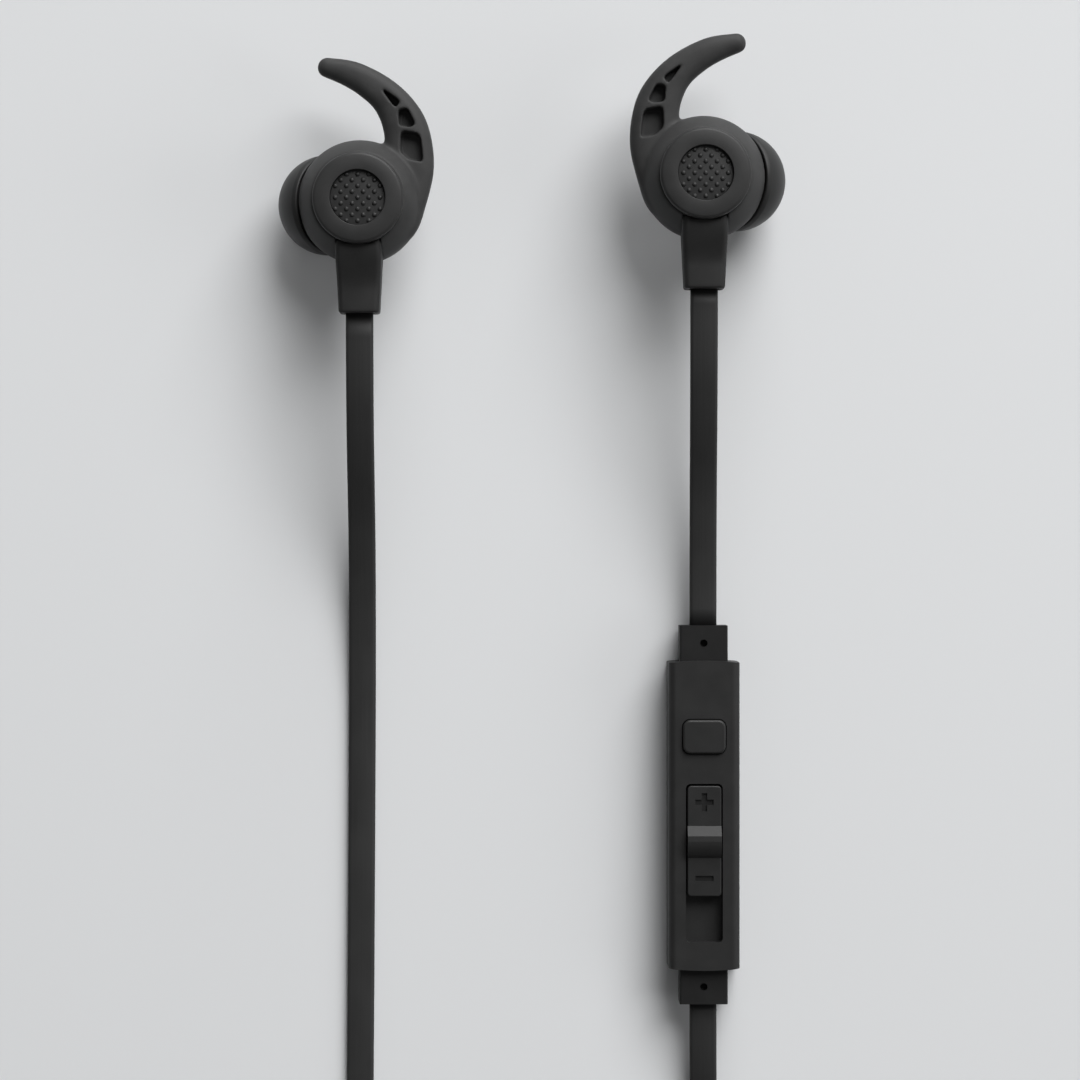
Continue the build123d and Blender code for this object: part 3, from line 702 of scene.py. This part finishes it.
def wingPart(look):
    outer = [Vector(point) for point in smoothLine(look["outer"], look["steps"])]
    inner = [Vector(point) for point in smoothLine(look["inner"], look["steps"])]
    last = len(outer) - 1
    sections = []
    for index, (far, near) in enumerate(zip(outer, inner)):
        share = index / last
        thickness = look["rootThickness"] + (look["hornThickness"] - look["rootThickness"]) * share ** 2
        blunt = look["rootBlunt"] + (look["hornBlunt"] - look["rootBlunt"]) * share
        sections.append(wingSection((far + near) / 2, (far - near) / 2, thickness, blunt))
    middle, reach = (outer[-1] + inner[-1]) / 2, (outer[-1] - inner[-1]) / 2
    ahead = (middle - (outer[-2] + inner[-2]) / 2).normalized()
    for step in range(1, look["hornSteps"]):    # the horn's rounded end
        angle = step / look["hornSteps"] * pi / 2
        further = ahead * reach.length * look["hornEnd"] * sin(angle)
        sections.append(wingSection(middle + further, reach * cos(angle),
                                    look["hornThickness"] * cos(angle), look["hornBlunt"]))
    return loft(sections)


# corners of an outline rounded off
def softened(outline, share=0.14, times=2):
    for _ in range(times):
        rounded = []
        for (u, v), (nextU, nextV) in zip(outline, outline[1:] + outline[:1]):
            rounded.append((u + (nextU - u) * share, v + (nextV - v) * share))
            rounded.append((nextU + (u - nextU) * share, nextV + (v - nextV) * share))
        outline = rounded
    return outline


sleeve = {
    "skin": [(5.6, 4.56), (5.95, 4.44), (6.6, 3.45), (7.2, 2.3), (7.7, 1.1), (7.9, 0.0), (7.8, -1.5),
             (7.2, -2.8), (6.2, -4.3)],    # radius and height above the crossing, from the soft lip down
    "skinSteps": 6,
    "foot": 4.0,           # the skin ends this far below the crossing
    "collar": [(0, 2.4), (5.2, 2.4), (5.9, 3.2), (6.2, 4.2), (6.15, 5.2), (5.5, 6.0), (0, 6.2)],
    "collarAround": 72,
    "outer": [(-3.2, -7.2), (-6.9, -4.2), (-8.4, -0.5), (-9.45, 4.4), (-8.85, 9.3), (-7.1, 12.7),
              (-4.0, 15.65), (0.2, 17.8), (4.0, 18.4)],    # the wing's edges, from its root to the horn
    "inner": [(-0.5, -5.5), (-2.0, -3.0), (-2.6, 1.0), (-2.9, 5.0), (-3.05, 8.6), (-1.9, 11.7),
              (0.3, 13.75), (2.4, 15.0), (4.6, 15.95)],
    "steps": 9,            # stations between two points of the wing's edges
    "rootThickness": 3.4,
    "hornThickness": 2.7,
    "rootBlunt": 3.0,      # 2 is an ellipse across the wing, more is squarer
    "hornBlunt": 2.2,
    "hornEnd": 0.9,        # length of the rounded end, as a share of the horn's half width
    "hornSteps": 8,
    "partingZ": crossZ,
    "pockets": [
        [(-2.6, 14.5), (-5.15, 12.75), (-4.55, 11.8)],
        [(-4.95, 11.55), (-6.1, 11.75), (-7.05, 9.8), (-6.45, 9.4), (-5.05, 9.6)],
        [(-5.3, 8.85), (-7.65, 8.5), (-8.05, 5.0), (-6.3, 5.35), (-5.2, 6.3)],
    ],
    "pocketDepth": 1.75,
    "pocketSpread": 1.15,  # of its cutter's top against its bottom
    "cutterHeight": 4.0,
    "voxel": 0.17,         # of the rough body, then of the finished one
    "fineVoxel": 0.13,
    "smoothing": 24,       # passes over the rough body, then over the finished one
    "fineSmoothing": 7,
}
# what is cut out of the sleeve for its neighbours, along the nozzle, or in height above the table
neckRoom = {"radius": 3.7, "length": 12.0, "around": 64}
skirtRoom = {"from": 5.5, "to": 11.0, "gap": 0.42, "end": 14.0}
bootRoom = {"half": 2.86, "low": 11.1, "high": 18.0, "reach": 15.0}
underRoom = {"radius": 14.0, "around": 24}


def makeSleeve(look):
    skin = smoothLine([(radius, crossZ + rise) for radius, rise in look["skin"]], look["skinSteps"])
    body = turn([(0, skin[0][1])] + skin + [(0, skin[-1][1])])
    collar = turn(look["collar"], nozzleFrame, look["collarAround"])
    piece = workPiece("sleeveWork", body, collar, wingPart(look))
    useModifier(piece, "REMESH", mode="VOXEL", voxel_size=look["voxel"])
    useModifier(piece, "SMOOTH", factor=0.5, iterations=look["smoothing"])
    floor = crossZ + look["rootThickness"] / 2 - look["pocketDepth"]
    pockets = [prism(softened(outline), floor, floor + look["cutterHeight"], look["pocketSpread"])
               for outline in look["pockets"]]
    cut(piece, *roomsInSleeve(look), *pockets)
    useModifier(piece, "REMESH", mode="VOXEL", voxel_size=look["fineVoxel"])
    useModifier(piece, "SMOOTH", factor=0.5, iterations=look["fineSmoothing"])
    return piece


def roomsInSleeve(look):
    radius, lip, footZ = bud["housingRadius"], look["skin"][0][0], crossZ - look["foot"]
    housing = turn([(0, 0), (bud["footRadius"], wallLow - bud["footDrop"]), (radius, wallLow),
                    (radius, wallHigh), (lip, seatZ), (lip, faceZ), (0, faceZ)])
    neck = turn([(0, 0), (neckRoom["radius"], 0), (neckRoom["radius"], neckRoom["length"]),
                 (0, neckRoom["length"])], nozzleFrame, neckRoom["around"])
    start, end = rimReach - skirtRoom["gap"], skirtRoom["end"]
    skirt = turn([(skirtRoom["from"], start), (skirtRoom["to"], start), (skirtRoom["to"], end),
                  (skirtRoom["from"], end)], nozzleFrame, ring=True)
    low, high, reach = bootRoom["low"], bootRoom["high"], bootRoom["reach"]
    relief = loft([[(u, 0, low), (u, -reach, low), (u, -reach, high), (u, 0, high)]
                   for u in (-bootRoom["half"], bootRoom["half"])])
    under = turn([(0, 0), (underRoom["radius"], 0), (underRoom["radius"], footZ), (0, footZ)],
                 steps=underRoom["around"])
    return housing, neck, skirt, relief, under


earTip = {
    "offset": 4.3,         # sideways from the earbud's axis to the dome's centre
    "radius": 6.42,
    "wall": 0.55,
    "rimBack": 0.4,        # the rim lies behind the dome's centre
    "rimRound": 0.2,
    "rimInset": 0.33,      # from the outside to the middle of the rim's rounding
    "rimLift": 0.18,
    "rimThinning": 0.02,
    "bore": 2.15,
    "mouthEdge": 0.45,     # the dome ends this far outside the bore
    "mouthDrop": 0.42,
    "bend": 0.4,           # rounding of the mouth, and of the web where it meets the core
    "coreRadius": 3.0,
    "coreStart": 1.95,     # from the dome's centre
    "coreEdge": 0.15,
    "web": 4.0,            # from the dome's centre to the web's underside
    "hollow": [(1.9, 0.0), (0.75, 1.1), (0.12, 2.6)],    # inwards from the wall, back from the web
    "domeSteps": 28,
    "around": 112,
}
tipReach = earTip["offset"] / sin(tilt)    # along the nozzle to the dome's centre
rimReach = tipReach - earTip["rimBack"]


def makeEarTip(look):
    outside, hollow = look["radius"], look["radius"] - look["wall"]
    bore, core, edge, bend = look["bore"], look["coreRadius"], look["coreEdge"], look["bend"]
    mouth = bore + look["mouthEdge"]
    front = tipReach + (outside ** 2 - mouth ** 2) ** 0.5
    web = tipReach + look["web"]
    coreEnd = tipReach + look["coreStart"]
    outline = arc(0, tipReach, outside, 0, degrees(atan((front - tipReach) / mouth)), look["domeSteps"])
    outline += arc(bore + bend, front - look["mouthDrop"], bend, 75, 180)
    outline += [(bore, coreEnd + edge), (bore + edge, coreEnd)]
    outline += [(core - edge, coreEnd), (core, coreEnd + edge)]
    outline += arc(core + bend, web - bend, bend, 180, 90, steps=5)
    inside = [(hollow - inwards, web - back) for inwards, back in look["hollow"]]
    inside += [(hollow, tipReach), (hollow - look["rimThinning"], rimReach + look["rimRound"])]
    outline += smoothLine(inside, steps=5)
    outline += arc(outside - look["rimInset"], rimReach + look["rimLift"], look["rimRound"], 180, 360)
    return workPiece("tipWork", turn(outline, nozzleFrame, look["around"], ring=True))


faceRing = {
    "radius": 5.75,
    "edge": 0.5,           # rounding of the outer edge
    "fall": 0.22,          # the face falls by this much towards it
    "recess": 3.5,
    "recessDepth": 0.9,
    "recessEdge": 0.08,
    "seatGap": 0.02,       # between the ring's underside and the housing
    "seatEdge": 0.1,
    "spigot": 5.0,
    "spigotBore": 4.2,
    "spigotLength": 0.8,
    "around": 128,
}


# the face: a thick ring that falls a little to its softly rounded outer edge, with a crisp recess
def makeFaceRing(look):
    radius, edge, crisp = look["radius"], look["edge"], look["recessEdge"]
    recessZ, underZ = faceZ - look["recessDepth"], seatZ + look["seatGap"]
    footZ = seatZ - look["spigotLength"]
    outline = [(0, recessZ), (look["recess"], recessZ)]
    outline += arc(look["recess"] + crisp, faceZ - crisp, crisp, 180, 95, steps=4)
    outline += arc(radius - edge, faceZ - look["fall"] - edge, edge, 82, 0, steps=9)
    outline += [(radius, underZ + look["seatEdge"]), (radius - look["seatEdge"], underZ)]
    outline += [(look["spigot"], underZ), (look["spigot"], footZ)]
    outline += [(look["spigotBore"], footZ), (look["spigotBore"], seatZ), (0, seatZ)]
    return workPiece("ringWork", turn(outline, steps=look["around"]))


boot = {    # distances along it are from the earbud's axis
    "start": 5.1,
    "taperFrom": 7.55,
    "reach": 14.3,
    "topHalf": 2.92,
    "endHalf": 2.58,
    "thickness": 4.0,
    "drop": 4.6,           # from the face down to the cable's middle
    "corner": 0.75,
    "leastCorner": 0.2,
    "cornerSteps": 6,
    "endEdge": 0.3,
    "endSteps": 5,
    "stations": 24,
    "saddle": 1.25,        # rise of the top, from the first distance to the second
    "saddleFrom": 11.4,
    "saddleTo": 6.0,
    "slotGap": 0.36,       # the slot's width and height over the cable's
    "slotDepth": 0.5,
    "ringPress": 0.01,     # the boot touches the face ring
    "seatPress": 0.05,
}


# the strain relief block; its top rises in a saddle to meet the face ring
def makeBoot(look):
    middleZ = faceZ - look["drop"]

    def section(v, shrink):
        share = min(max((-v - look["taperFrom"]) / (look["reach"] - look["taperFrom"]), 0.0), 1.0)
        half = look["topHalf"] + (look["endHalf"] - look["topHalf"]) * share - shrink
        rise = look["saddle"] * eased(v, -look["saddleFrom"], -look["saddleTo"])
        corner = max(look["corner"] - shrink, look["leastCorner"])
        return [(a, v, middleZ + rise / 2 + b)
                for a, b in flatSection(2 * half, look["thickness"] + rise - 2 * shrink, corner,
                                        look["cornerSteps"])]

    count, edge, end = look["stations"], look["endEdge"], -look["reach"]
    body = look["reach"] - look["start"] - edge
    sections = [section(-look["start"] - body * step / count, 0.0) for step in range(count + 1)]
    for step in range(1, look["endSteps"] + 1):    # rounded end
        angle = step / look["endSteps"] * pi / 2
        sections.append(section(end + edge * (1 - sin(angle)), edge * (1 - cos(angle))))
    mouth = flatSection(cable["width"] + look["slotGap"], cable["thickness"] + look["slotGap"],
                        cable["corner"], look["cornerSteps"])
    for depth in (0.0, look["slotDepth"]):    # the slot that the cable comes out of
        sections.append([(a, end + depth, middleZ + b) for a, b in mouth])
    radius, ring = bud["housingRadius"], faceRing["radius"] - look["ringPress"]
    housing = turn([(0, 0), (radius, 0), (radius, wallHigh), (ring, seatZ - look["seatPress"]),
                    (ring, faceZ), (0, faceZ)])
    return cut(workPiece("bootWork", loft(sections)), housing)


studs = {
    "pitchU": 1.41,
    "pitchV": 0.73,
    "field": 3.26,         # studs whose middle is farther out are left out
    "radius": 0.25,
    "height": 0.19,
    "domeFrom": 0.05,
    "footFar": (0.10, -0.02),     # outwards from the stud, and up from the disc
    "footNear": (0.03, 0.02),
    "angleStep": 15,
    "around": 16,
    "discRadius": 3.48,
    "discTop": 0.55,
    "discGap": 0.005,
    "discEdge": 0.08,
}


# the insert in the recess: a disc with a diamond field of small domed studs
def makeStuds(look):
    top, under = faceZ - look["discTop"], faceZ - faceRing["recessDepth"] + look["discGap"]
    radius, edge, base = look["radius"], look["discEdge"], look["domeFrom"]
    disc = [(0, under), (look["discRadius"], under)]
    disc += arc(look["discRadius"] - edge, top - edge, edge, 0, 90, steps=4) + [(0, top)]
    stud = [(0, top + look["footFar"][1])]
    stud += [(radius + outwards, top + rise) for outwards, rise in (look["footFar"], look["footNear"])]
    stud += [(radius * cos(radians(angle)), top + base + (look["height"] - base) * sin(radians(angle)))
             for angle in range(0, 91, look["angleStep"])]
    rows, columns = ceil(look["field"] / look["pitchV"]), ceil(look["field"] / look["pitchU"])
    parts = [turn(disc)]
    for row in range(-rows, rows + 1):
        for column in range(-columns, columns + 1):
            u, v = (column + (row % 2) / 2) * look["pitchU"], row * look["pitchV"]
            if hypot(u, v) < look["field"]:
                parts.append(turn(stud, Matrix.Translation((u, v, 0)), look["around"]))
    return workPiece("studWork", *parts)


def makeBuds():
    works = {"WingSleeve": makeSleeve(sleeve), "EarTip": makeEarTip(earTip),
             "FaceRing": makeFaceRing(faceRing), "Boot": makeBoot(boot), "StudDisc": makeStuds(studs)}
    facts = {"WingSleeve": ("sleeveSilicone", "sleeve_silicone", "wing_sleeve"),
             "EarTip": ("tipSilicone", "tip_silicone", "ear_tip"),
             "FaceRing": ("housingPlastic", "housing_plastic", "face_ring"),
             "Boot": ("bootRubber", "boot_rubber", "boot"),
             "StudDisc": ("studRubber", "textured_insert", "stud_disc")}
    for side, sign in (("left", -1), ("right", 1)):
        low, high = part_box(f"{side}_face_ring")
        middle = (low + high) / 2 / mm
        place = Matrix.Translation((middle.x, middle.y, 0)) @ Matrix.Diagonal((sign, 1, 1, 1))
        for name, work in works.items():
            finish, slot, node = facts[name]
            body = f"{side}_tip" if name == "EarTip" else "earphones"
            settle(side + name, work, place, finishes[finish], body, slot, f"{side}_{node}")
    for work in works.values():
        bpy.data.objects.remove(work)


finishes = {name: makePolymer(name, look) for name, look in polymers.items()}
finishes.update({name: makeMetal(name, look) for name, look in metals.items()})
finishes.update(cableJacket=makeJacket("cableJacket", jacket), circuitBoard=makeBoard(board),
                driverFilm=makeFilm(film))
makeBuds()
for piece, _ in cablePieces.values():
    piece.data.materials.append(finishes["cableJacket"])

print("stage: plug and splitter")
plug = {
    "endRadius": 2.0,      # of the flat end that the cable enters
    "endFlat": 0.1,
    "endRound": 0.25,
    "relief": 5.0,         # length of the grooved strain relief
    "reliefSpread": 0.3,   # it widens by this much over its length
    "grooves": 4,
    "grooveStart": 0.55,
    "groovePitch": 0.95,
    "grooveDepth": 0.28,
    "grooveShape": ((0, 0.0), (1, 0.12), (1, 0.36), (0, 0.48)),    # share of the depth, and place along it
    "shoulder": ((2.56, -0.6), (2.62, 0.0), (2.8, 0.7)),    # radius, and place from the relief's end
    "handle": 2.8,
    "waist": 0.12,
    "waistEnd": 1.2,       # from the handle's end
    "handleRound": 0.5,
    "around": 72,
}


# the plug's handle, turned along the cable, with a grooved strain relief
def makePlugHandle(look):
    low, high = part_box("plug_handle")
    length = (high.y - low.y) / mm
    small, relief, handle, large = look["endRound"], look["relief"], look["handle"], look["handleRound"]
    outline = [(0, 0.0), (look["endRadius"] - look["endFlat"], 0.0)]
    outline += arc(look["endRadius"], small, small, -90, 0, steps=5)
    for groove in range(look["grooves"]):
        start = look["grooveStart"] + groove * look["groovePitch"]
        radius = look["endRadius"] + small + look["reliefSpread"] * start / relief
        outline += [(radius - share * look["grooveDepth"], start + further)
                    for share, further in look["grooveShape"]]
    outline += smoothLine([(radius, relief + further) for radius, further in look["shoulder"]]
                          + [(handle - look["waist"], (relief + length) / 2),
                             (handle, length - look["waistEnd"])], steps=8)
    outline += arc(handle - large, length - large, large, 0, 90, steps=6) + [(0, length)]
    middle = (low + high) / 2 / mm
    along = Matrix.Translation((middle.x, high.y / mm, middle.z)) @ Matrix.Rotation(pi / 2, 4, "X")
    work = workPiece("handleWork", turn(outline, steps=look["around"]))
    settle("plugHandle", work, along, finishes["bootRubber"], "earphones", "boot_rubber", "plug_handle")
    bpy.data.objects.remove(work)


splitter = {
    "angle": 303.0,        # its place in the coil
    "radius": 21.4,
    "length": 12.0,
    "height": 4.6,
    "wide": 3.9,
    "narrow": 2.7,
    "corner": 0.95,
    "cornerSteps": 6,
    "stations": 40,
    "endRound": 0.35,      # each end shrinks by this over the length below
    "endLength": 0.6,
    "grooved": (0.62, 0.92),    # shares of the length between which there are grooves
    "grooveEvery": 3,      # stations
    "grooveDepth": 0.16,
}


# the moulded splitter: wide where the two strands enter, narrow where the main cable leaves
def makeSplitter(look):
    angle = radians(look["angle"])
    outwards, along = Vector((cos(angle), sin(angle), 0)), Vector((-sin(angle), cos(angle), 0))
    centre = Vector((*coil["centre"], look["height"] / 2)) + outwards * look["radius"]
    groovedFrom, groovedTo = look["grooved"]
    count = look["stations"]
    sections = []
    for step in range(count + 1):
        share = step / count
        width = look["wide"] + (look["narrow"] - look["wide"]) * eased(share, 0, 1)
        ends = min(share, 1 - share) * look["length"]
        shrink = look["endRound"] * (1 - min(ends / look["endLength"], 1.0)) ** 2
        if groovedFrom < share < groovedTo and step % look["grooveEvery"] == 0:
            shrink += look["grooveDepth"]
        shape = flatSection(width - 2 * shrink, look["height"] - 2 * shrink, look["corner"],
                            look["cornerSteps"])
        middle = centre + along * (share - 0.5) * look["length"]
        sections.append([middle + outwards * a + Vector((0, 0, b)) for a, b in shape])
    work = workPiece("splitterWork", loft(sections))
    settle("splitterBody", work, Matrix(), finishes["bootRubber"], "earphones", "boot_rubber", "y_splitter")
    bpy.data.objects.remove(work)


# the cables' lines and the pieces on the main cable are looked up, and nothing more is done with them
def declareCords():
    onMain = ["splitterBody", "plugHandle", "plug_sleeve_contact", "plug_second_ring", "plug_first_ring",
              "plug_insulators", "plug_tip_contact"]
    for name, (piece, line) in cablePieces.items():
        facts = cables[name]
        line[0] * mm
        [place * mm for place in line]
        onMain if facts["farEnd"] == "plug" else []


makePlugHandle(plug)
makeSplitter(splitter)
declareCords()

print("stage: finishes of the rigid pieces")
rigidFinishes = {    # each finish with the ends of its nodes' names; the longest end that fits counts
    "innerPlastic": ("front_shell", "rear_shell", "driver_frame", "tactile_switch", "potentiometer_track",
                     "insulators"),
    "remotePlastic": ("remote_front_shell", "remote_back_shell"),
    "controlPlastic": ("function_button", "volume_slider"),
    "collarRubber": ("collar",),
    "circuitBoard": ("remote_circuit_board",),
    "magnetSteel": ("driver_magnet",),
    "meshSteel": ("nozzle_mesh", "potentiometer_wiper", "microphone_capsule"),
    "platedContact": ("contact", "ring"),
    "driverFilm": ("driver_diaphragm",),
}


def finishRigid():
    finishOf = {end: finish for finish, ends in rigidFinishes.items() for end in ends}
    for name, node in nodes.items():
        if node.hide_render:
            continue
        longest = max((end for end in finishOf if name.endswith(end)), key=len)
        node.data.materials.clear()
        node.data.materials.append(finishes[finishOf[longest]])


finishRigid()

print("stage: floor and light")
floorLook = {"size": 6.0, "colour": (0.72, 0.73, 0.74, 1.0), "roughness": 0.95, "specular": 0.08}


def makeFloor(look):
    half = look["size"] / 2 / mm
    floor = makePiece("floor", [(-half, -half, 0), (half, -half, 0), (half, half, 0), (-half, half, 0)],
                      [(0, 1, 2, 3)], smooth=False)
    material = bpy.data.materials.new("floorPaper")
    material.use_nodes = True
    shader = material.node_tree.nodes["Principled BSDF"]
    shader.inputs["Base Color"].default_value = look["colour"]
    shader.inputs["Roughness"].default_value = look["roughness"]
    shader.inputs["Specular IOR Level"].default_value = look["specular"]
    floor.data.materials.append(material)


makeFloor(floorLook)

scene.view_settings.view_transform = "Standard"
lights = {    # places and sizes in metres
    "key": {"place": (0.75, 1.4, 1.35), "size": 1.6, "power": 48.0},
    "rim": {"place": (0.25, 1.9, 0.55), "size": 0.8, "power": 16.0},
    "fill": {"place": (1.7, -0.2, 0.9), "size": 0.9, "power": 5.0},
    "sky": 0.15,
}


def makeLights(setup):
    for name in ("key", "rim", "fill"):
        lamp = bpy.data.lights.new(name, "AREA")
        lamp.shape = "DISK"
        lamp.size = setup[name]["size"]
        lamp.energy = setup[name]["power"]
        holder = bpy.data.objects.new(name, lamp)
        holder.location = setup[name]["place"]
        holder.rotation_euler = (-holder.location).to_track_quat("-Z", "Y").to_euler()
        scene.collection.objects.link(holder)
    world = bpy.data.worlds.new("sky")
    world.use_nodes = True
    world.node_tree.nodes["Background"].inputs["Color"].default_value = (1, 1, 1, 1)
    world.node_tree.nodes["Background"].inputs["Strength"].default_value = setup["sky"]
    scene.world = world


makeLights(lights)
